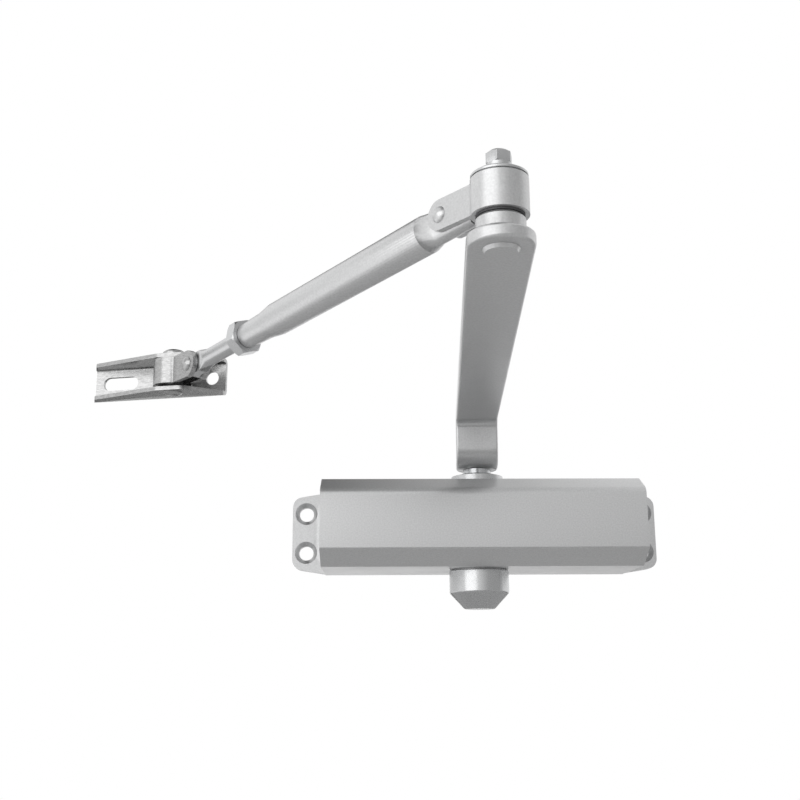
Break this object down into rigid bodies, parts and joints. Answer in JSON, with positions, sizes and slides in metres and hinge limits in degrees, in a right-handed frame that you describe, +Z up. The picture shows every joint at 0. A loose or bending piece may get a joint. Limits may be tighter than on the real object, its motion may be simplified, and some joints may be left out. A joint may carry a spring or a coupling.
{
  "type": "door closer",
  "caption": "Surface-mounted rack-and-pinion door closer with a stepped main arm, an adjustable forearm and a screw-on foot.",
  "frame": {"origin": "centre of the four body screw holes, on the face that meets the door", "axes": "+X along the body, +Y into the door, +Z up along the pinion shaft"},
  "size_m": [0.2547, 0.2685, 0.1159],
  "materials": {
    "body_paint": "satin silver paint",
    "arm_paint": "satin silver paint",
    "bright_steel": "zinc plated",
    "foot_zinc": "zinc plated",
    "cap_metal": "satin plated",
    "shaft_steel": "ground",
    "plug_steel": "turned",
    "spring_steel": "oiled",
    "cast_piston": "ground",
    "bearing_bronze": "sintered",
    "valve_brass": "turned",
    "seal_rubber": "matt",
    "bush_plastic": "moulded"
  },
  "bodies": {
    "housing": {"closer_body": "body_paint", "end_plug_left": "plug_steel", "end_plug_right": "plug_steel", "end_seal_left": "seal_rubber", "end_seal_right": "seal_rubber", "closing_spring": "spring_steel", "upper_bearing": "bearing_bronze", "lower_bearing": "bearing_bronze", "upper_bearing_nut": "bright_steel", "lower_bearing_nut": "bright_steel", "upper_shaft_seal": "seal_rubber", "lower_shaft_seal": "seal_rubber", "shaft_cap": "cap_metal"},
    "piston": {"rack_piston": "cast_piston", "piston_seal": "seal_rubber", "check_retainer": "plug_steel"},
    "check_ball": {"check_ball": "bright_steel"},
    "closing_valve": {"closing_speed_valve": "valve_brass", "closing_valve_seal": "seal_rubber"},
    "latching_valve": {"latching_speed_valve": "valve_brass", "latching_valve_seal": "seal_rubber"},
    "arm": {"pinion_shaft": "shaft_steel", "main_arm": "arm_paint", "arm_washer": "bright_steel", "arm_screw": "bright_steel", "elbow_stud": "arm_paint", "elbow_washer": "bright_steel", "elbow_bolt": "bright_steel"},
    "elbow": {"elbow_strap": "arm_paint", "elbow_bush": "bush_plastic", "elbow_rivet": "arm_paint"},
    "forearm": {"forearm_tube": "arm_paint"},
    "lock_nut": {"lock_nut": "bright_steel"},
    "rod": {"forearm_rod": "bright_steel"},
    "foot_clevis": {"foot_strap": "foot_zinc", "foot_rivet": "foot_zinc", "foot_bush": "bush_plastic"},
    "foot": {"foot_bracket": "foot_zinc", "foot_pin": "foot_zinc"}
  },
  "joints": [
    {"name": "arm_swing", "type": "hinge", "parent": "housing", "child": "arm", "pos_m": [0, -0.027, 0], "axis": [0, 0, 1], "range_deg": [-170, 0], "stiffness_Nm_per_rad": 2.25, "springref_deg": 91.67},
    {"name": "piston_slide", "type": "slide", "parent": "housing", "child": "piston", "axis": [1, 0, 0], "range_m": [-0.0224, 0], "deforming": ["closing_spring"]},
    {"name": "check_ball_lift", "type": "slide", "parent": "piston", "child": "check_ball", "axis": [1, 0, 0], "range_m": [0, 0.0012]},
    {"name": "closing_valve_turn", "type": "hinge", "parent": "housing", "child": "closing_valve", "pos_m": [0.064, -0.051, 0.0065], "axis": [1, 0, 0], "range_deg": [-360, 360]},
    {"name": "latching_valve_turn", "type": "hinge", "parent": "housing", "child": "latching_valve", "pos_m": [0.064, -0.051, -0.0065], "axis": [1, 0, 0], "range_deg": [-360, 360]},
    {"name": "elbow_swing", "type": "hinge", "parent": "arm", "child": "elbow", "pos_m": [-0.01214, -0.25868, 0.06445], "axis": [0, 0, 1], "range_deg": [-20, 130]},
    {"name": "forearm_tilt", "type": "hinge", "parent": "elbow", "child": "forearm", "pos_m": [-0.02504, -0.24275, 0.06445], "axis": [-0.7771, -0.6293, 0], "range_deg": [-8, 8]},
    {"name": "lock_nut_turn", "type": "hinge", "parent": "forearm", "child": "lock_nut", "pos_m": [-0.09638, -0.15466, 0.05463], "axis": [-0.6274, 0.7748, -0.0785], "continuous": true},
    {"name": "rod_extension", "type": "slide", "parent": "forearm", "child": "rod", "axis": [-0.6274, 0.7748, -0.0785], "range_m": [-0.01, 0.022]},
    {"name": "foot_tilt", "type": "hinge", "parent": "rod", "child": "foot_clevis", "pos_m": [-0.11884, -0.12693, 0.05182], "axis": [-0.7771, -0.6293, 0], "range_deg": [-12, 12]},
    {"name": "foot_swivel", "type": "hinge", "parent": "foot_clevis", "child": "foot", "pos_m": [-0.12985, -0.11332, 0.05182], "axis": [0, 0, 1], "range_deg": [-20, 105]}
  ],
  "couplings": [
    {"joint": "piston_slide", "follows": "arm_swing", "m_per_rad": 0.0075}
  ]
}
